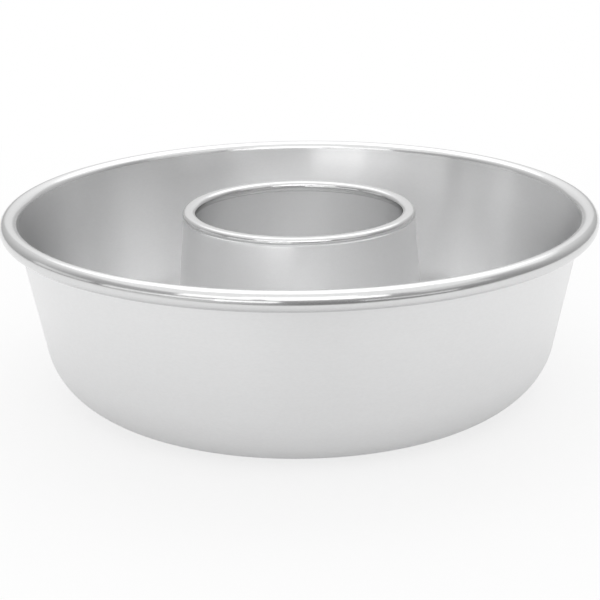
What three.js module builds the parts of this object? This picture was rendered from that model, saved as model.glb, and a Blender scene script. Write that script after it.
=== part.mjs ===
// Angel food cake pan of spun aluminium sheet, in millimetres, +Z up.
// The origin is the middle of the circle that the pan stands on.
// Both pieces are one sheet each. A piece's section is drawn the way the sheet is formed: a middle line of
// straight runs and bends, then half the sheet's thickness to each side of it, turned round the Z axis.

import * as THREE from "three";

// Whole pan
const rimDiameter = 241.3;
const panHeight = 76.2;
const sheetThickness = 1.3;
const seatGap = 0.3; // between two sheets that bear on each other

// Pan shell
const wallTaper = THREE.MathUtils.degToRad(10.7);
const cornerRadius = 27; // outside, between the wall and the floor
const stepRadius = 2.2; // of the sheet's middle, in the step up to the middle of the floor
const stepSlope = THREE.MathUtils.degToRad(30);
const rimRollDiameter = 7.6;
const rimRollSlit = 0.35; // between the roll's cut edge and the wall

// Centre tube
const tubeTopDiameter = 95.2;
const tubeTopDrop = 2; // from the rim's top down to the tube's top
const tubeTaper = THREE.MathUtils.degToRad(5);
const tubeRollDiameter = 5.7;
const tubeRollSlit = 0.35; // between the roll's cut edge and the tube's wall

// Centre tube: foot, which grips the edge of the floor's hole
const flareWidth = 3; // straight part of the flare under the floor
const flareClearance = 0.3; // between the flare and the surface that the pan stands on
const flareToStep = 1.6; // from the flare's edge out to the step in the floor
const foldWidth = 0.8; // straight part of the fold over the floor
const foldSlit = 0.4; // between the fold's two leaves
const footRadius = 1.6; // of the sheet's middle, where the fold turns up into the wall

// Fineness of the facets
const divisionsAround = 60;
const chordError = 0.08; // most that a facet may lie inside a bend's outer arc

const QUARTER_TURN = Math.PI / 2;
const HALF_TURN = Math.PI;
const FULL_TURN = 2 * Math.PI;
const halfSheet = sheetThickness / 2;

// The middle of a sheet in section, as radius and height. It starts at a place with a heading and grows by
// straight runs and bends. Heading 0 is outwards, a quarter turn is up, and a positive bend turns left.
class SheetLine {
  constructor(radius, height, heading) {
    this.place = new THREE.Vector2(radius, height);
    this.heading = heading;
    this.points = [];
    this.addPoint();
  }

  addPoint() {
    const left = new THREE.Vector2(-Math.sin(this.heading), Math.cos(this.heading));
    this.points.push({ middle: this.place.clone(), left });
  }

  run(length) {
    const forward = new THREE.Vector2(Math.cos(this.heading), Math.sin(this.heading));
    this.place.addScaledVector(forward, length);
    this.addPoint();
    return this;
  }

  bend(angle, radius) {
    const reach = Math.sign(angle) * radius;
    const centre = this.place
      .clone()
      .add(new THREE.Vector2(-reach * Math.sin(this.heading), reach * Math.cos(this.heading)));
    const facetAngle = 2 * Math.acos(1 - chordError / (radius + halfSheet));
    const facets = Math.max(2, Math.ceil(Math.abs(angle) / facetAngle));
    for (let facet = 0; facet < facets; facet += 1) {
      this.heading += angle / facets;
      this.place.x = centre.x + reach * Math.sin(this.heading);
      this.place.y = centre.y - reach * Math.cos(this.heading);
      this.addPoint();
    }
    return this;
  }

  // The sheet's closed section: up its right side and back down its left side.
  section() {
    const offsetBy = (distance) => (point) =>
      point.middle.clone().addScaledVector(point.left, distance);
    const right = this.points.map(offsetBy(-halfSheet));
    const left = this.points.map(offsetBy(halfSheet)).reverse();
    return [...right, ...left, right[0].clone()];
  }
}

// A full-round roll on the edge of a wall that leans by a taper. The wall runs into the roll's arc without
// a kink, and the arc goes round until the cut edge is one slit away from the wall.
function edgeRoll(outerRadius, height, diameter, slit, wallHeading, side) {
  const rollRadius = diameter / 2;
  const middleRadius = rollRadius - halfSheet;
  const edgeAngle = Math.acos((rollRadius - sheetThickness - slit) / rollRadius);
  return {
    middleRadius,
    angle: side * (FULL_TURN - edgeAngle),
    startRadius: outerRadius + side * middleRadius * Math.sin(wallHeading),
    startHeight: height - rollRadius - side * middleRadius * Math.cos(wallHeading),
  };
}

// Pan shell: its rim
const wallHeading = QUARTER_TURN - wallTaper;
const rimRoll = edgeRoll(
  rimDiameter / 2 - rimRollDiameter / 2,
  panHeight,
  rimRollDiameter,
  rimRollSlit,
  wallHeading,
  -1,
);

// Centre tube: its wall's middle line, from the roll down
const tubeHeading = QUARTER_TURN + tubeTaper;
const tubeRoll = edgeRoll(
  tubeTopDiameter / 2 - tubeRollDiameter / 2,
  panHeight - tubeTopDrop,
  tubeRollDiameter,
  tubeRollSlit,
  tubeHeading,
  1,
);

function tubeMiddleRadius(height) {
  return tubeRoll.startRadius + (tubeRoll.startHeight - height) * Math.tan(tubeTaper);
}

// Centre tube: its foot. The floor lies between the flare and the fold, one seat gap from each, and the
// throat's two bends keep that gap round the edge of the floor's hole.
const flareHeight = flareClearance + halfSheet;
const floorUnderside = flareHeight + halfSheet + seatGap;
const foldHeight = floorUnderside + sheetThickness + seatGap + halfSheet;
const throatRadius = halfSheet + seatGap;
const throatBottom = flareHeight + throatRadius * (1 - Math.sin(tubeTaper));
const throatTop = foldHeight - throatRadius * (1 + Math.sin(tubeTaper));
const flareInside = tubeMiddleRadius(throatBottom) + throatRadius * Math.cos(tubeTaper);
const flareEdge = flareInside + flareWidth;
const holeRadius = tubeMiddleRadius(floorUnderside) + halfSheet / Math.cos(tubeTaper) + seatGap;

// One sheet from the edge of the floor's hole out along the floor, down the step to the ring that the pan
// stands on, round the corner, up the wall and round the rim.
function panShellLine() {
  const stepRun = (floorUnderside - 2 * stepRadius * (1 - Math.cos(stepSlope))) / Math.sin(stepSlope);
  const stepWidth = 2 * stepRadius * Math.sin(stepSlope) + stepRun * Math.cos(stepSlope);
  const stepInside = flareEdge + flareToStep;

  const cornerMiddleRadius = cornerRadius - halfSheet;
  const cornerWidth = cornerMiddleRadius * Math.sin(wallHeading);
  const cornerRise = cornerMiddleRadius * (1 - Math.cos(wallHeading));
  const wallRun = (rimRoll.startHeight - halfSheet - cornerRise) / Math.sin(wallHeading);
  const cornerInside = rimRoll.startRadius - wallRun * Math.cos(wallHeading) - cornerWidth;

  return new SheetLine(holeRadius, floorUnderside + halfSheet, 0)
    .run(stepInside - holeRadius)
    .bend(-stepSlope, stepRadius)
    .run(stepRun)
    .bend(stepSlope, stepRadius)
    .run(cornerInside - stepInside - stepWidth)
    .bend(wallHeading, cornerMiddleRadius)
    .run(wallRun)
    .bend(rimRoll.angle, rimRoll.middleRadius);
}

// One sheet from the flare's edge in under the floor, up through the hole, out and back as a fold that
// bears on the floor, up the wall and round the top.
function centerTubeLine() {
  const noseRadius = halfSheet + foldSlit / 2;
  const wallBottom = foldHeight + 2 * noseRadius + footRadius * (1 - Math.sin(tubeTaper));
  const foldStart = tubeMiddleRadius(throatTop) + throatRadius * Math.cos(tubeTaper);
  const foldEnd = tubeMiddleRadius(wallBottom) + footRadius * Math.cos(tubeTaper);

  return new SheetLine(flareEdge, flareHeight, HALF_TURN)
    .run(flareWidth)
    .bend(tubeHeading - HALF_TURN, throatRadius)
    .run((throatTop - throatBottom) / Math.cos(tubeTaper))
    .bend(-tubeHeading, throatRadius)
    .run(foldWidth)
    .bend(HALF_TURN, noseRadius)
    .run(foldStart + foldWidth - foldEnd)
    .bend(tubeHeading - HALF_TURN, footRadius)
    .run((tubeRoll.startHeight - wallBottom) / Math.cos(tubeTaper))
    .bend(tubeRoll.angle, tubeRoll.middleRadius);
}

// Satin aluminium. The tube is a shade darker than the shell, from its finer brushing.
const shellAluminium = new THREE.MeshStandardMaterial({
  color: new THREE.Color(0.78, 0.78, 0.78),
  metalness: 1,
  roughness: 0.38,
});
const tubeAluminium = new THREE.MeshStandardMaterial({
  color: new THREE.Color(0.74, 0.74, 0.74),
  metalness: 1,
  roughness: 0.36,
});

function turnedSheet(name, line, material) {
  const geometry = new THREE.LatheGeometry(line.section(), divisionsAround);
  geometry.rotateX(QUARTER_TURN);
  const sheet = new THREE.Mesh(geometry, material);
  sheet.name = name;
  return sheet;
}

const angelFoodPan = new THREE.Group();
angelFoodPan.add(turnedSheet("pan_shell", panShellLine(), shellAluminium));
angelFoodPan.add(turnedSheet("center_tube", centerTubeLine(), tubeAluminium));

export default angelFoodPan;
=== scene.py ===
"""Angel food cake pan of satin aluminium sheet, standing on a white studio table.

The pan is two sheets: the spun shell, and the tube that grips the edge of the hole in the shell's floor.
A sheet starts as a flat strip, is bent in section along its middle line and is turned round the Z axis, so
each piece is a function of two parameters: the place round the strip's outline and the angle round the pan.
"""

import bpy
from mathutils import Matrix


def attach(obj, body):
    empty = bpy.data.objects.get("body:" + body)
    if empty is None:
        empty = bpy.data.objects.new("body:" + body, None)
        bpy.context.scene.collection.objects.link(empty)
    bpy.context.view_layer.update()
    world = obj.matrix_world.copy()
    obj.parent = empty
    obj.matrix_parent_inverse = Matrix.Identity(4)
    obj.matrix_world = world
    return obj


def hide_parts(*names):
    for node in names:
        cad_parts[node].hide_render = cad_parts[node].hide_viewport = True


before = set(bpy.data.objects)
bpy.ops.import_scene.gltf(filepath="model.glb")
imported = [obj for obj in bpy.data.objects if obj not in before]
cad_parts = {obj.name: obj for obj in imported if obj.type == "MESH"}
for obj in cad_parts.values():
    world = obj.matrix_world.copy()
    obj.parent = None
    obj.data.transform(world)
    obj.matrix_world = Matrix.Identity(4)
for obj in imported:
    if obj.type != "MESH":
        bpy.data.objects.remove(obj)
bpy.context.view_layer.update()        # first, while the scene holds the imported model alone

import math

import bpy
import numpy as np
from bpy.props import FloatProperty, FloatVectorProperty, IntProperty, PointerProperty
from bpy.types import Operator, Panel, PropertyGroup
from mathutils import Matrix, Vector

bl_info = {
    "name": "Angel Food Cake Pan",
    "version": (1, 0, 0),
    "blender": (4, 5, 0),
    "location": "3D View > Sidebar > Cake Pan",
    "description": "Spins the sheets of a ring cake pan and lights them on a studio table",
    "category": "Add Mesh",
}

QUARTER_TURN = math.pi / 2
HALF_TURN = math.pi
FULL_TURN = 2 * math.pi


def size(name, description, millimetres):
    return FloatProperty(
        name=name,
        description=description,
        default=millimetres / 1000,
        min=0,
        precision=5,
        subtype="DISTANCE",
        unit="LENGTH",
    )


def lean(name, description, degrees):
    return FloatProperty(
        name=name,
        description=description,
        default=math.radians(degrees),
        subtype="ANGLE",
        unit="ROTATION",
    )


def share(name, description, default):
    return FloatProperty(name=name, description=description, default=default, min=0, subtype="FACTOR")


def tint(name, description, colour):
    return FloatVectorProperty(
        name=name, description=description, default=colour, size=3, min=0, max=1, subtype="COLOR"
    )


class SheetSizes(PropertyGroup):
    """What both sheets share."""

    thickness: size("Sheet", "Thickness of the aluminium sheet", 1.3)
    edge_rounding: size("Cut edge", "Rounding of the sheet's cut edges", 0.2)
    seat_gap: size("Seat gap", "Between two sheets that bear on each other", 0.08)
    roll_slit: size("Roll slit", "Between a roll's cut edge and the wall beside it", 0.12)
    waviness: size("Waviness", "Most that the hand-spun wall wanders from true", 0.035)
    divisions: IntProperty(name="Divisions", description="Faces round the pan", default=240, min=24)


class ShellSizes(PropertyGroup):
    """The spun shell."""

    rim_diameter: size("Rim", "Diameter over the rolled rim", 241.3)
    height: size("Height", "From the table to the rim's top", 76.2)
    wall_taper: lean("Wall taper", "Lean of the wall outwards", 10.7)
    corner_radius: size("Corner", "Outside radius between the wall and the floor", 27)
    step_radius: size("Step radius", "Bends of the step that lifts the middle of the floor", 2.2)
    step_slope: lean("Step slope", "Steepest part of the step in the floor", 30)
    rim_roll: size("Rim roll", "Diameter of the rolled rim's section", 7.6)


class TubeSizes(PropertyGroup):
    """The centre tube and the foot that holds it in the floor."""

    top_diameter: size("Tube top", "Diameter over the tube's rolled top", 95.2)
    top_drop: size("Top drop", "From the rim's top down to the tube's top", 2)
    taper: lean("Tube taper", "Lean of the tube's wall inwards", 5)
    top_roll: size("Top roll", "Width of the rolled top's section", 5.7)
    top_roll_height: size("Top roll height", "Height of that section, which was pressed flatter", 4.5)
    top_shoulder: size("Top shoulder", "Outside radius of the roll's outer bend", 1.9)
    neck_turn: lean("Neck turn", "How far the wall turns in at the neck under the roll", 12)
    neck_swing: lean("Neck swing", "How far past its own lean the wall swings out into the roll", 38)
    neck_radius: size("Neck radius", "Of the neck's bends, to the middle of the sheet", 1.2)
    flare_width: size("Flare", "Straight part of the flare under the floor", 3)
    flare_clearance: size("Flare clearance", "Between the flare and the table", 0.3)
    flare_to_step: size("Flare to step", "From the flare's edge out to the step in the floor", 1.6)
    fold_width: size("Fold", "Straight part of the fold over the floor", 0.8)
    fold_slit: size("Fold slit", "Between the fold's two leaves", 0.25)
    foot_radius: size("Foot radius", "Where the fold turns up into the tube's wall", 1.6)


class FinishLooks(PropertyGroup):
    """Satin anodised aluminium."""

    shell_colour: tint("Shell colour", "Reflected colour of the shell's metal", (0.86, 0.861, 0.863))
    # The tube's colour is set lighter than the shell's, which lifts the tube's grey levels: painted light.
    tube_colour: tint("Tube colour", "Reflected colour of the tube's metal", (0.91, 0.911, 0.913))
    roughness: share("Roughness", "Satin finish of the metal", 0.292)
    brushing: share("Brushing", "How far highlights stretch across the turning marks", 0.8)
    # The darkening of the two rolls is painted shade, which dims their highlights.
    rim_painted_shade: share("Rim shade", "Darkening of the rim's roll by the tool that closed it", 0.11)
    top_painted_shade: share("Top shade", "Darkening of the tube's roll by the tool that closed it", 0.2)
    roll_polish: share("Roll polish", "How much less rough that tool left them", 0.13)


class StageLooks(PropertyGroup):
    """Table, camera and studio light."""

    tent_radius: size("Tent", "Radius and height of the light tent round the table's edge", 4000)
    tent_foot: share("Tent foot", "Brightness of the tent's wall at the table", 0.28)
    tent_top: share("Tent top", "Brightness of the tent's wall at its upper edge", 0.56)
    back_foot: share("Back foot", "Brightness that its middle at the back has more at the table", 0.22)
    back_top: share("Back top", "Brightness that its middle at the back has more at the upper edge", 0.65)
    table_colour: tint("Table colour", "White of the table", (0.9, 0.9, 0.9))
    shadow_fill: share("Shadow fill", "How far the table's white hides the pan's shadow from the lens", 0.7)
    shadow_reach: size("Shadow reach", "From the pan's middle to where that white hides all shadow", 500)
    mirror_fill: share("Mirror fill", "How far that white hides the shadow in reflections", 0.2)
    # The cloth is painted shade: a dark sheet that only reflections show, for the unlit room in front of
    # the table.
    cloth_edge: size("Cloth", "From the pan's middle to the edge of the cloth on the camera's side", 280)
    cloth_colour: tint("Cloth colour", "Dark grey of the cloth", (0.22, 0.22, 0.22))
    # Its lighter left side is painted light.
    cloth_painted_light: tint("Lit cloth", "Grey of its left side, which more light reaches", (0.7, 0.7, 0.7))
    cloth_fade: size("Cloth fade", "From the pan's middle to where that side is at its lightest", 350)
    lens_distance: size("Distance", "From the camera to the middle of the pan", 620)
    lens_height: lean("Elevation", "Of the camera above the pan", 18.375)
    lens_roll: lean("Roll", "Of the camera about its own axis", -0.709)
    aim_height: size("Aim", "Height of the point that the camera looks at", 34.14)


class CakePan(PropertyGroup):
    """Every size and colour of the scene."""

    sheet: PointerProperty(type=SheetSizes)
    shell: PointerProperty(type=ShellSizes)
    tube: PointerProperty(type=TubeSizes)
    finish: PointerProperty(type=FinishLooks)
    stage: PointerProperty(type=StageLooks)


def new_object(name, data):
    """An object in the scene that shows a mesh, a light or a camera."""
    made = bpy.data.objects.new(name, data)
    bpy.context.scene.collection.objects.link(made)
    return made


def bend(turn, radius):
    """A step of a middle line: its length, and the angle that the heading turns through over it."""
    return abs(turn) * radius, turn


def run(length):
    """A straight step of a middle line."""
    return length, 0


def bend_strip(along, offset, start, steps):
    """Places of a flat strip's points once the strip is bent, as radius and height, and the bend's left.

    A point of the strip is a distance along its middle line and an offset to the left of it. The line
    starts at a radius, a height and a heading, and each step is a length and the angle that the heading
    turns through over it. Within a step, the place moves by the length over the turn, times the change of
    the heading's sine outwards and of minus its cosine upwards, and the offset is square to the heading.
    """
    radius, height, heading = start
    place = np.empty((2,) + along.shape)
    left = np.empty_like(place)
    reached = 0.0
    for number, (length, turn) in enumerate(steps):
        here = along >= reached if number else along > -np.inf
        within = along[here] - reached
        now = heading + turn * within / length
        if turn:
            reach = length / turn
            place[:, here] = (
                radius + reach * (np.sin(now) - math.sin(heading)),
                height - reach * (np.cos(now) - math.cos(heading)),
            )
            radius += reach * (math.sin(heading + turn) - math.sin(heading))
            height -= reach * (math.cos(heading + turn) - math.cos(heading))
        else:
            place[:, here] = radius + within * np.cos(now), height + within * np.sin(now)
            radius += length * math.cos(heading)
            height += length * math.sin(heading)
        left[:, here] = -np.sin(now), np.cos(now)
        heading += turn
        reached += length
    return place + offset * left, left


def carried(heading, steps):
    """How far out and up steps carry the middle line from a heading."""
    end = np.array([sum(length for length, turn in steps)])
    return bend_strip(end, 0, (0, 0, heading), steps)[0][:, 0]


BEND_FACET = math.radians(5)  # most that a facet of a bend turns through
ARC_FACET = 0.0011  # and the longest that it may be
BEND_FACETS = 2  # fewest facets in a bend
RUN_FACET = 0.006  # longest facet of a straight run
RUN_END = 0.0003  # short facet at a run's ends, which keeps the run's shading flat
RUN_END_SHARE = 0.25  # most of a run that such a facet takes up
EDGE_FACETS = 4  # in a quarter of a rounded edge
EDGE_CLEARANCE = 1.05  # in roundings: points of a line that are nearer to its ends are left out


def stations(steps):
    """Distances along the middle line where the strip has points.

    They divide a bend evenly, and a straight run evenly too, with one more point close to each end.
    """
    found = [np.zeros(1)]
    reached = 0.0
    for length, turn in steps:
        if turn:
            facets = math.ceil(max(abs(turn) / BEND_FACET, length / ARC_FACET, BEND_FACETS))
            shares = np.linspace(0, 1, facets + 1)[1:]
        else:
            end = min(RUN_END / length, RUN_END_SHARE)
            facets = math.ceil(length / RUN_FACET)
            shares = np.append(np.linspace(end, 1 - end, facets + 1), 1)
        found.append(reached + length * shares)
        reached += length
    return np.concatenate(found)


def strip_outline(steps, half, rounding):
    """Outline of the flat strip, anticlockwise: out along its right side, round the far edge, and back."""
    length = sum(step[0] for step in steps)
    clear = rounding * EDGE_CLEARANCE
    far = length - rounding
    at = stations(steps)
    at = at[(at > clear) & (at < length - clear)]
    at = np.concatenate([[rounding], at, [far]])
    quarter = np.linspace(0, QUARTER_TURN, EDGE_FACETS + 1)
    rise, fall = rounding * np.sin(quarter), rounding * np.cos(quarter)
    flat = half - rounding
    along = np.concatenate(
        [
            at,
            far + rise[1:],
            far + fall,
            at[-2::-1],
            rounding - rise[1:],
            rounding - fall[:-1],
        ]
    )
    offset = np.concatenate(
        [
            np.full(at.shape, -half),
            -flat - fall[1:],
            flat + rise,
            np.full(at.shape, half)[1:],
            flat + fall[1:],
            -flat - rise[:-1],
        ]
    )
    return along, offset


# Waves left in a spun wall: how many go round, how many lie up the wall, their phase and their share.
WAVES = np.array(
    [
        [2, 0.6, 0.4, 0.30],
        [3, -1.1, 2.1, 0.25],
        [5, 1.7, 4.4, 0.18],
        [8, -2.3, 1.3, 0.12],
        [13, 2.9, 5.2, 0.09],
        [21, -0.7, 3.3, 0.06],
    ]
)


def wander(angle, height, wall):
    """How far a wall wanders from true: a sum of cosines, each running round the pan and slanting up it.

    It fades in from the foot of the wall and out again below the roll, where the sheet is held round.
    """
    low, high = wall
    rise = np.clip((height - low) / (high - low), 0, 1)
    around, upward, phase, part = WAVES.T[:, :, None, None]
    waves = (part * np.cos(around * angle + upward * FULL_TURN * rise + phase)).sum(0)
    return waves * np.sin(HALF_TURN * rise) ** 2


ROLL_BLEND = 0.0008  # length over which the wall's finish becomes the roll's, and the roll's painted shade fades in


def turned_sheet(name, sheet, start, steps, wall, roll_steps):
    """A bent strip turned round the Z axis. Its last steps are its roll.

    The point at an angle and a place round the outline has that place's radius and height, moved square to
    the sheet by the wall's wander, with the radius laid off along the angle's cosine and sine.
    """
    along, offset = strip_outline(steps, sheet.thickness / 2, sheet.edge_rounding)
    (radius, height), (left_out, left_up) = bend_strip(along, offset, start, steps)
    turns = np.arange(sheet.divisions) / sheet.divisions
    angle = FULL_TURN * turns[:, None]
    shift = sheet.waviness * wander(angle, height[None, :], wall)
    out = radius + shift * left_out
    points = np.stack([out * np.cos(angle), out * np.sin(angle), height + shift * left_up], -1)

    spread = np.hypot(np.diff(radius, append=radius[0]), np.diff(height, append=height[0]))
    round_section = np.concatenate([[0], np.cumsum(spread)])
    columns, rows = angle.shape[0], len(along)
    ring, place = np.meshgrid(np.arange(columns), np.arange(rows), indexing="ij")
    ring_after, place_after = (ring + 1) % columns, (place + 1) % rows
    faces = np.stack(
        [
            ring * rows + place,
            ring_after * rows + place,
            ring_after * rows + place_after,
            ring * rows + place_after,
        ],
        -1,
    ).reshape(-1, 4)
    across = np.stack([ring, ring + 1, ring + 1, ring], -1) / columns
    up = round_section[np.stack([place, place, place + 1, place + 1], -1)] / round_section[-1]

    mesh = bpy.data.meshes.new(name)
    mesh.from_pydata(points.reshape(-1, 3), [], faces)
    bake_map = mesh.uv_layers.new(name="OFBake")
    bake_map.uv.foreach_set("vector", np.stack([across, up], -1).astype(np.float32).ravel())
    roll_start = sum(length for length, turn in steps[:-roll_steps])
    rolled = np.clip((along - roll_start) / ROLL_BLEND, 0, 1)
    for attribute, values in ("round_section", round_section[:-1]), ("rolled", rolled):
        layer = mesh.attributes.new(attribute, "FLOAT", "POINT")
        layer.data.foreach_set("value", np.tile(values, columns).astype(np.float32))
    mesh.shade_smooth()
    mesh.update()
    if mesh.validate():
        raise RuntimeError(f"{name} has faces that Blender had to mend")
    return new_object(name, mesh)


def rim_roll(shell, sheet, wall_heading):
    """Bend of the rim's roll, and where the wall's middle line meets it.

    The wall runs into the roll's arc without a kink, and the arc goes out and round until the cut edge is a
    slit away from the wall: a full turn less the angle whose cosine is the edge's reach over the radius.
    """
    roll_radius = shell.rim_roll / 2
    middle = roll_radius - sheet.thickness / 2
    reach = roll_radius - sheet.thickness - sheet.roll_slit
    turn = math.acos(reach / roll_radius) - FULL_TURN
    meets = (
        shell.rim_diameter / 2 - roll_radius - middle * math.sin(wall_heading),
        shell.height - roll_radius + middle * math.cos(wall_heading),
    )
    return bend(turn, middle), meets


def necked_roll(tube, height, sheet, wall_heading):
    """Steps of the neck and of the pressed roll on the tube, and where its wall meets the neck.

    The wall turns in, swings out past its own lean, and bends in over the shoulder until it is level. It
    runs in, bends half a turn and runs back under, until the cut edge is a slit away from the neck,
    which is narrowest where it is upright.
    """
    half = sheet.thickness / 2
    shoulder = tube.top_shoulder - half
    inner_bend = tube.top_roll_height / 2 - half
    flat = tube.top_roll - tube.top_shoulder - tube.top_roll_height / 2
    swung = wall_heading - tube.neck_swing
    turned = tube.neck_turn + tube.neck_swing
    neck = [bend(tube.neck_turn, tube.neck_radius), bend(-turned, tube.neck_radius)]
    shoulder_middle = tube.top_diameter / 2 - tube.top_shoulder
    roll_radius = shoulder_middle + shoulder * math.sin(swung)
    roll_bottom = height - tube.top_shoulder - shoulder * math.cos(swung)
    narrowest = roll_radius - tube.neck_radius * (1 - math.sin(swung))
    roll = [
        bend(HALF_TURN - swung, shoulder),
        run(flat),
        bend(HALF_TURN, inner_bend),
        run(narrowest - half - sheet.roll_slit - (shoulder_middle - flat)),
    ]
    out, up = carried(wall_heading, neck)
    return neck, roll, (roll_radius - out, roll_bottom - up)


class Foot:
    """Where the two sheets meet, one seat gap apart: the flare, the floor's hole and the fold over it.

    It starts from the tube's top, because the tube's wall slopes down to the foot from there.
    """

    def __init__(self, sheet, shell, tube):
        half = sheet.thickness / 2
        self.heading = QUARTER_TURN + tube.taper
        self.slope = math.tan(tube.taper)
        top = shell.height - tube.top_drop
        self.neck, self.roll, self.wall_end = necked_roll(tube, top, sheet, self.heading)
        self.flare_height = tube.flare_clearance + half
        self.floor_underside = self.flare_height + half + sheet.seat_gap
        self.fold_height = self.floor_underside + sheet.thickness + sheet.seat_gap + half
        self.throat_radius = half + sheet.seat_gap
        cosine, sine = math.cos(tube.taper), math.sin(tube.taper)
        self.throat_bottom = self.flare_height + self.throat_radius * (1 - sine)
        self.throat_top = self.fold_height - self.throat_radius * (1 + sine)
        self.flare_inside = self.middle_radius(self.throat_bottom) + self.throat_radius * cosine
        self.flare_edge = self.flare_inside + tube.flare_width
        self.hole_radius = self.middle_radius(self.floor_underside) + half / cosine + sheet.seat_gap

    def middle_radius(self, height):
        """Radius of the tube's wall at a height, to the middle of its sheet."""
        radius, top = self.wall_end
        return radius + (top - height) * self.slope


def shell_line(sheet, shell, tube):
    """From the edge of the floor's hole out, down the step, round the corner, up the wall and round."""
    foot = Foot(sheet, shell, tube)
    half = sheet.thickness / 2
    heading = QUARTER_TURN - shell.wall_taper
    roll, (wall_radius, wall_top) = rim_roll(shell, sheet, heading)
    cosine, sine = math.cos(shell.step_slope), math.sin(shell.step_slope)
    step_run = (foot.floor_underside - 2 * shell.step_radius * (1 - cosine)) / sine
    step_width = 2 * shell.step_radius * sine + step_run * cosine
    step_inside = foot.flare_edge + tube.flare_to_step
    corner = shell.corner_radius - half
    wall_bottom = half + corner * (1 - math.cos(heading))
    wall_run = (wall_top - wall_bottom) / math.sin(heading)
    corner_inside = wall_radius - wall_run * math.cos(heading) - corner * math.sin(heading)
    start = (foot.hole_radius, foot.floor_underside + half, 0)
    steps = [
        run(step_inside - foot.hole_radius),
        bend(-shell.step_slope, shell.step_radius),
        run(step_run),
        bend(shell.step_slope, shell.step_radius),
        run(corner_inside - step_inside - step_width),
        bend(heading, corner),
        run(wall_run),
        roll,
    ]
    return start, steps, (wall_bottom, wall_top), 1


def tube_line(sheet, shell, tube):
    """From the flare's edge in under the floor, up the hole, out and back as the fold, up, and round."""
    foot = Foot(sheet, shell, tube)
    cosine, sine = math.cos(tube.taper), math.sin(tube.taper)
    nose = sheet.thickness / 2 + tube.fold_slit / 2
    wall_bottom = foot.fold_height + 2 * nose + tube.foot_radius * (1 - sine)
    fold_start = foot.middle_radius(foot.throat_top) + foot.throat_radius * cosine
    fold_end = foot.middle_radius(wall_bottom) + tube.foot_radius * cosine
    wall_top = foot.wall_end[1]
    start = (foot.flare_edge, foot.flare_height, HALF_TURN)
    steps = [
        run(tube.flare_width),
        bend(foot.heading - HALF_TURN, foot.throat_radius),
        run((foot.throat_top - foot.throat_bottom) / cosine),
        bend(-foot.heading, foot.throat_radius),
        run(tube.fold_width),
        bend(HALF_TURN, nose),
        run(fold_start + tube.fold_width - fold_end),
        bend(foot.heading - HALF_TURN, tube.foot_radius),
        run((wall_top - wall_bottom) / cosine),
        *foot.neck,
        *foot.roll,
    ]
    return start, steps, (wall_bottom, wall_top), len(foot.roll)


def blank_material(name):
    """A material with no nodes in its tree yet, and the tree."""
    material = bpy.data.materials.new(name)
    material.use_nodes = True
    material.node_tree.nodes.clear()
    return material, material.node_tree


def add_node(tree, kind, *links, **values):
    """A node of a kind, with its settings and plain socket values by name, and (socket, output) links."""
    node = tree.nodes.new(kind)
    for name, value in values.items():
        if hasattr(node, name):
            setattr(node, name, value)
        else:
            node.inputs[name.replace("_", " ")].default_value = value
    for socket, output in links:
        tree.links.new(output, node.inputs[socket])
    return node


def math_node(tree, kind, operation, *inputs):
    """Outputs of a math node. Each input is another node's output, or a plain number or vector."""
    node = add_node(tree, kind, operation=operation)
    for socket, value in zip(node.inputs, inputs):
        if isinstance(value, bpy.types.NodeSocket):
            tree.links.new(value, socket)
        else:
            socket.default_value = value
    return node.outputs


def number_math(tree, operation, *inputs):
    return math_node(tree, "ShaderNodeMath", operation, *inputs)[0]


def vector_math(tree, operation, *inputs):
    return math_node(tree, "ShaderNodeVectorMath", operation, *inputs)


def ranged(tree, value, spread, low, high):
    """A value that runs over a spread, from its start to its end, made to run from low to high."""
    start, end = spread
    return add_node(
        tree,
        "ShaderNodeMapRange",
        ("Value", value),
        From_Min=start,
        From_Max=end,
        To_Min=low,
        To_Max=high,
    ).outputs[0]


def object_place(tree):
    return add_node(tree, "ShaderNodeTexCoord").outputs["Object"]


def axes(tree, place):
    return add_node(tree, "ShaderNodeSeparateXYZ", (0, place)).outputs


def attribute_value(tree, name):
    return add_node(tree, "ShaderNodeAttribute", attribute_name=name).outputs["Fac"]


def mixed(tree, second_share, first, second):
    return add_node(tree, "ShaderNodeMixShader", (0, second_share), (1, first), (2, second)).outputs[0]


def show(tree, shader):
    add_node(tree, "ShaderNodeOutputMaterial", ("Surface", shader))


# Noise in the metal's finish: its scale along each axis, and how many finer layers it has.
# In the first three, the first two axes run round the pan and the last one runs up the section.
TURNING_MARKS = (2.5, 2.5, 1300), 0
STREAKS = (1.4, 1.4, 520), 1
GRAIN = (75, 75, 1500), 1
MOTTLE = (420, 420, 420), 2
HANDLING = (17, 17, 17), 3
NOISE_SPREAD = (0.25, 0.75)  # where nearly all values of a noise lie
SHARE_SPREAD = (0, 1)  # where those of a share lie

STREAK_ROUGHNESS = 0.003  # most that each changes the roughness, up or down
HANDLING_ROUGHNESS = 0.012
STREAK_SHADE = 0.006  # most that each darkens the metal
HANDLING_SHADE = 0.01
MOTTLE_SHADE = 0.01
GRAIN_SHADE = 0.025

MARK_HEIGHT = 0.3  # the marks' highest point, as a part of the distance below, in metres
MARK_DISTANCE = 0.00001
MARK_STRENGTH = 0.3  # share of that relief which tilts the reflections
ACROSS_MARKS = 0.25  # in turns from the marks to the way that highlights stretch


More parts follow.
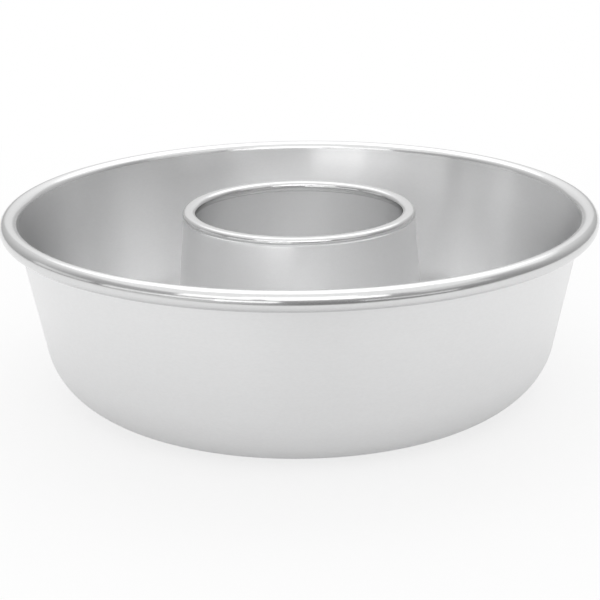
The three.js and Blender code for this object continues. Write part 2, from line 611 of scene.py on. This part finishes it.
def satin_aluminium(name, colour, roll_painted_shade, finish):
    """Satin aluminium with turning marks and short grain, and rolls that a tool has closed, with painted
    shade.

    The marks' coordinate is the direction from the axis, which changes slowly round the pan, with the place
    round the section, which changes fast, so noise on it is drawn out into rings. Marks and streaks go far
    round the pan, and the grain is the same noise at a scale that leaves it a millimetre or two long.
    """
    material, tree = blank_material(name)
    place = object_place(tree)
    section = attribute_value(tree, "round_section")
    rolled = attribute_value(tree, "rolled")
    level = vector_math(tree, "MULTIPLY", place, (1, 1, 0))[0]
    facing = axes(tree, vector_math(tree, "NORMALIZE", level)[0])
    rings = add_node(
        tree, "ShaderNodeCombineXYZ", ("X", facing["X"]), ("Y", facing["Y"]), ("Z", section)
    ).outputs[0]

    def noise(coordinate, scale, detail):
        mapping = add_node(tree, "ShaderNodeMapping", ("Vector", coordinate))
        mapping.inputs["Scale"].default_value = scale
        scaled = ("Vector", mapping.outputs[0])
        return add_node(tree, "ShaderNodeTexNoise", scaled, Scale=1, Detail=detail).outputs["Fac"]

    def remap(pattern, low, high):
        return ranged(tree, pattern, NOISE_SPREAD, low, high)

    marks = noise(rings, *TURNING_MARKS)
    streaks = noise(rings, *STREAKS)
    grain = noise(rings, *GRAIN)
    mottle = noise(place, *MOTTLE)
    handling = noise(place, *HANDLING)

    streaked = remap(streaks, -STREAK_ROUGHNESS, STREAK_ROUGHNESS)
    handled = remap(handling, finish.roughness - HANDLING_ROUGHNESS, finish.roughness + HANDLING_ROUGHNESS)
    polish = ranged(tree, rolled, SHARE_SPREAD, 0, finish.roll_polish)
    roughness = number_math(tree, "SUBTRACT", number_math(tree, "ADD", streaked, handled), polish)
    # colour scale: random tone of the finish, times the rolls' painted shade
    shade = remap(streaks, 1 - STREAK_SHADE, 1)
    for other in (
        remap(handling, 1 - HANDLING_SHADE, 1),
        remap(mottle, 1 - MOTTLE_SHADE, 1),
        remap(grain, 1 - GRAIN_SHADE, 1),
        # painted shade over the rolls, which dims their highlights
        ranged(tree, rolled, SHARE_SPREAD, 1, 1 - roll_painted_shade),
    ):
        shade = number_math(tree, "MULTIPLY", shade, other)
    relief = remap(marks, 0, MARK_HEIGHT)
    bump = add_node(
        tree, "ShaderNodeBump", ("Height", relief), Strength=MARK_STRENGTH, Distance=MARK_DISTANCE
    )
    round_axis = add_node(tree, "ShaderNodeTangent", direction_type="RADIAL", axis="Z")
    metal = add_node(
        tree,
        "ShaderNodeBsdfPrincipled",
        ("Base Color", vector_math(tree, "MULTIPLY", colour, shade)[0]),
        ("Roughness", roughness),
        ("Normal", bump.outputs[0]),
        ("Tangent", round_axis.outputs[0]),
        Metallic=1,
        Anisotropic=finish.brushing,
        Anisotropic_Rotation=ACROSS_MARKS,
    )
    show(tree, metal.outputs[0])
    return material


def stage_material(name):
    """An empty material for a stage piece, with its node tree.

    A stage piece that glows is too broad to aim light rays at, so the rays are kept for the lamps.
    """
    material, tree = blank_material(name)
    material.cycles.emission_sampling = "NONE"
    return material, tree


def paint(tree, colour):
    shader = add_node(tree, "ShaderNodeBsdfDiffuse")
    shader.inputs["Color"].default_value = (*colour, 1)
    return shader.outputs[0]


def table_white(look):
    """White table: matt paint, with some of its own white over it for the camera and for reflections.

    For a camera ray, the share of its own white rises with the distance from the pan's middle, from the
    shadow fill to 1. For a glossy or a transmission ray it is the mirror fill.
    """
    material, tree = stage_material("table_white")
    ray = add_node(tree, "ShaderNodeLightPath").outputs
    away = vector_math(tree, "LENGTH", object_place(tree))["Value"]
    camera_share = ranged(tree, away, (0, look.shadow_reach), look.shadow_fill, 1)
    mirrored = number_math(tree, "ADD", ray["Is Glossy Ray"], ray["Is Transmission Ray"])
    mirror_share = number_math(tree, "MULTIPLY", mirrored, look.mirror_fill)
    share_seen = number_math(tree, "MULTIPLY_ADD", ray["Is Camera Ray"], camera_share, mirror_share)
    white = add_node(tree, "ShaderNodeEmission", Strength=1).outputs[0]
    show(tree, mixed(tree, share_seen, paint(tree, look.table_colour), white))
    return material


def painted_dark_reflection(look):
    """Dark grey painted shade, lighter by painted light in proportion to how far left of the pan it lies.
    """
    material, tree = stage_material("painted_dark_reflection")
    # painted light: share of the lighter grey, rising towards the left of the pan
    lit = ranged(tree, axes(tree, object_place(tree))["X"], (-look.cloth_fade, 0), 1, 0)
    show(tree, mixed(tree, lit, paint(tree, look.cloth_colour), paint(tree, look.cloth_painted_light)))
    return material


def tent_fabric(look):
    """Fabric lit from outside, brighter at the top and at the back.

    Its brightness rises with its height in proportion, and so does what the back half has more, times the
    share of the radius by which it lies behind the pan.
    """
    material, tree = stage_material("tent_fabric")
    apart = axes(tree, object_place(tree))

    def rising(axis, low, high):
        return ranged(tree, apart[axis], (0, look.tent_radius), low, high)

    brightness = number_math(
        tree,
        "MULTIPLY_ADD",
        rising("Y", 0, 1),
        rising("Z", look.back_foot, look.back_top),
        rising("Z", look.tent_foot, look.tent_top),
    )
    show(tree, add_node(tree, "ShaderNodeEmission", ("Strength", brightness)).outputs[0])
    return material


def stage_piece(name, points, faces, material):
    mesh = bpy.data.meshes.new(name)
    mesh.from_pydata(points, [], faces)
    mesh.materials.append(material)
    piece = new_object(name, mesh)
    return piece


TENT_SIDES = 72


def lay_table(look):
    """A round table, with a wall of light tent on its edge that the camera doesn't see.

    Both come from one ring of points at the radius times each angle's cosine and sine. The world's plain
    white lies beyond, over the wall and for the camera through it.
    """
    angle = FULL_TURN * np.arange(TENT_SIDES) / TENT_SIDES
    ring = look.tent_radius * np.stack([np.cos(angle), np.sin(angle), np.zeros(TENT_SIDES)], -1)
    stage_piece("table", ring, [tuple(range(TENT_SIDES))], table_white(look))
    here = np.arange(TENT_SIDES)
    after = (here + 1) % TENT_SIDES
    wall = np.stack([after, here, here + TENT_SIDES, after + TENT_SIDES], -1)
    upper = ring + (0, 0, look.tent_radius)
    tent = stage_piece("light_tent", np.concatenate([ring, upper]), wall, tent_fabric(look))
    tent.visible_camera = False


CLOTH_LIFT = 0.0005  # the cloth lies on the table
CLOTH_HALF_WIDTH = 0.5  # in tent radii, to either side of the pan
CLOTH_REACH = 0.8  # in tent radii, from the pan's middle to the cloth's far edge


def lay_cloth(look):
    """Dark cloth on the camera's side of the table, which only reflections show: painted shade for the
    unlit room.

    Its reflection is the dark line that shows the roundness of the rim.
    """
    half = look.tent_radius * CLOTH_HALF_WIDTH
    near, far = -look.cloth_edge, -look.tent_radius * CLOTH_REACH
    corners = [(x, y, CLOTH_LIFT) for x, y in ((-half, far), (half, far), (half, near), (-half, near))]
    cloth = stage_piece("painted_dark_reflection", corners, [(0, 1, 2, 3)], painted_dark_reflection(look))
    cloth.visible_camera = cloth.visible_diffuse = cloth.visible_shadow = False
    cloth.visible_transmission = cloth.visible_volume_scatter = False


# Soft boxes: azimuth and elevation in degrees, width and height in metres, and brightness (1 is white).
LAMPS = {
    "lamp_back_top": (180, 56, 1.8, 1.0, 0.39),
    "lamp_top_back": (180, 76, 1.2, 0.5, 0.50),
    "lamp_back": (180, 26, 1.6, 0.8, 0.16),
    "lamp_right_back": (128, 50, 0.8, 0.9, 0.20),
    "lamp_front_high": (0, 51, 0.9, 0.45, 0.45),
    "lamp_front": (10, 37, 1.1, 0.4, 1.12),
    "lamp_front_left": (328, 38, 0.7, 0.5, 0.82),
    "lamp_front_left_low": (342, 13, 0.6, 0.35, 1.06),
    "lamp_left_front_low": (323, 13, 0.6, 0.35, 0.71),
    "lamp_left_low": (300, 13, 0.7, 0.35, 0.58),
    "lamp_far_left_low": (266, 13, 0.9, 0.35, 0.32),
    "lamp_right": (60, 35, 0.8, 0.6, 0.20),
    "lamp_right_low": (38, 5, 1.0, 0.25, 0.50),
}
LAMP_DISTANCE = 1.6
WATTS_PER_BRIGHTNESS = 4  # for each square metre of a soft box


def looking_back(outward):
    """Turn of a lamp or camera that stands out in a direction and looks back along it."""
    return outward.to_track_quat("Z", "Y").to_matrix().to_4x4()


def hang_lamp(name, azimuth, elevation, width, height, brightness):
    """A soft box at a distance from the pan. Azimuth 0 is the camera's side and 90 is the right.

    Its direction is the azimuth's sine and minus cosine, times the elevation's cosine, and the elevation's
    sine upwards.
    """
    turn, rise = math.radians(azimuth), math.radians(elevation)
    outward = Vector((math.sin(turn) * math.cos(rise), -math.cos(turn) * math.cos(rise), math.sin(rise)))
    light = bpy.data.lights.new(name, "AREA")
    light.shape = "RECTANGLE"
    light.size, light.size_y = width, height
    light.energy = WATTS_PER_BRIGHTNESS * width * height * brightness
    lamp = new_object(name, light)
    lamp.matrix_world = Matrix.Translation(outward * LAMP_DISTANCE) @ looking_back(outward)


def white_world():
    """Plain white all round, at a strength of 1."""
    world = bpy.data.worlds.new("white_studio")
    world.use_nodes = True
    world.cycles.sampling_method = "NONE"
    tree = world.node_tree
    tree.nodes.clear()
    white = add_node(tree, "ShaderNodeBackground", Strength=1)
    white.inputs["Color"].default_value = (1, 1, 1, 1)
    add_node(tree, "ShaderNodeOutputWorld", ("Surface", white.outputs[0]))
    bpy.context.scene.world = world


SENSOR_WIDTH = 36  # in millimetres, as the focal length is
FOCAL_LENGTH = 89.148
AIM_SIDE = -0.00006  # in metres, how far to the right of the pan's middle the camera looks
NEAREST, FARTHEST = 0.05, 50  # in metres, between them the camera sees


def aim_camera(look):
    """The camera: at a distance and elevation in front of the pan, and rolled about its own axis."""
    rise = look.lens_height
    back = Vector((0, -math.cos(rise), math.sin(rise)))
    aim = Vector((AIM_SIDE, 0, look.aim_height))
    data = bpy.data.cameras.new("camera")
    data.sensor_width = SENSOR_WIDTH
    data.lens = FOCAL_LENGTH
    data.clip_start, data.clip_end = NEAREST, FARTHEST
    camera = new_object("camera", data)
    camera.matrix_world = (
        Matrix.Translation(aim + back * look.lens_distance)
        @ looking_back(back)
        @ Matrix.Rotation(look.lens_roll, 4, "Z")
    )
    bpy.context.scene.camera = camera


class CAKEPAN_OT_spin_shell(Operator):
    """Spin the shell of the pan from one sheet, from the floor's hole out to the rolled rim"""

    bl_idname = "cake_pan.spin_shell"
    bl_label = "Spin the shell"

    def execute(self, context):
        pan, finish = context.scene.cake_pan, context.scene.cake_pan.finish
        shell = turned_sheet("spun_shell", pan.sheet, *shell_line(pan.sheet, pan.shell, pan.tube))
        metal = satin_aluminium("satin_shell", finish.shell_colour, finish.rim_painted_shade, finish)
        shell.data.materials.append(metal)
        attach(shell, "root")
        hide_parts("pan_shell")
        return {"FINISHED"}


class CAKEPAN_OT_form_tube(Operator):
    """Form the centre tube from one sheet, from the flare under the floor up to the rolled top"""

    bl_idname = "cake_pan.form_tube"
    bl_label = "Form the centre tube"

    def execute(self, context):
        pan, finish = context.scene.cake_pan, context.scene.cake_pan.finish
        tube = turned_sheet("rolled_tube", pan.sheet, *tube_line(pan.sheet, pan.shell, pan.tube))
        metal = satin_aluminium("satin_tube", finish.tube_colour, finish.top_painted_shade, finish)
        tube.data.materials.append(metal)
        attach(tube, "root")
        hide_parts("center_tube")
        return {"FINISHED"}


class CAKEPAN_OT_lay_stage(Operator):
    """Lay the white table in its light tent, hang the soft boxes and aim the camera"""

    bl_idname = "cake_pan.lay_stage"
    bl_label = "Lay the stage"

    def execute(self, context):
        look = context.scene.cake_pan.stage
        lay_table(look)
        lay_cloth(look)
        for name, lamp in LAMPS.items():
            hang_lamp(name, *lamp)
        white_world()
        aim_camera(look)
        context.scene.view_settings.view_transform = "Standard"
        return {"FINISHED"}


class VIEW3D_PT_cake_pan(Panel):
    """Every setting of the pan and its stage, and the operators that make them."""

    bl_label = "Angel Food Cake Pan"
    bl_space_type = "VIEW_3D"
    bl_region_type = "UI"
    bl_category = "Cake Pan"

    def draw(self, context):
        for name in CakePan.__annotations__:
            box = self.layout.box()
            box.label(text=name.capitalize())
            settings = getattr(context.scene.cake_pan, name)
            for field in type(settings).__annotations__:
                box.prop(settings, field)
        for operator in OPERATORS:
            self.layout.operator(operator.bl_idname)


OPERATORS = (CAKEPAN_OT_spin_shell, CAKEPAN_OT_form_tube, CAKEPAN_OT_lay_stage)
CLASSES = (
    SheetSizes,
    ShellSizes,
    TubeSizes,
    FinishLooks,
    StageLooks,
    CakePan,
    *OPERATORS,
    VIEW3D_PT_cake_pan,
)


def register():
    for kind in CLASSES:
        bpy.utils.register_class(kind)
    bpy.types.Scene.cake_pan = PointerProperty(type=CakePan)


def unregister():
    del bpy.types.Scene.cake_pan
    for kind in reversed(CLASSES):
        bpy.utils.unregister_class(kind)


def main():
    register()
    bpy.ops.cake_pan.spin_shell()
    bpy.ops.cake_pan.form_tube()
    bpy.ops.cake_pan.lay_stage()


if __name__ == "__main__":
    main()
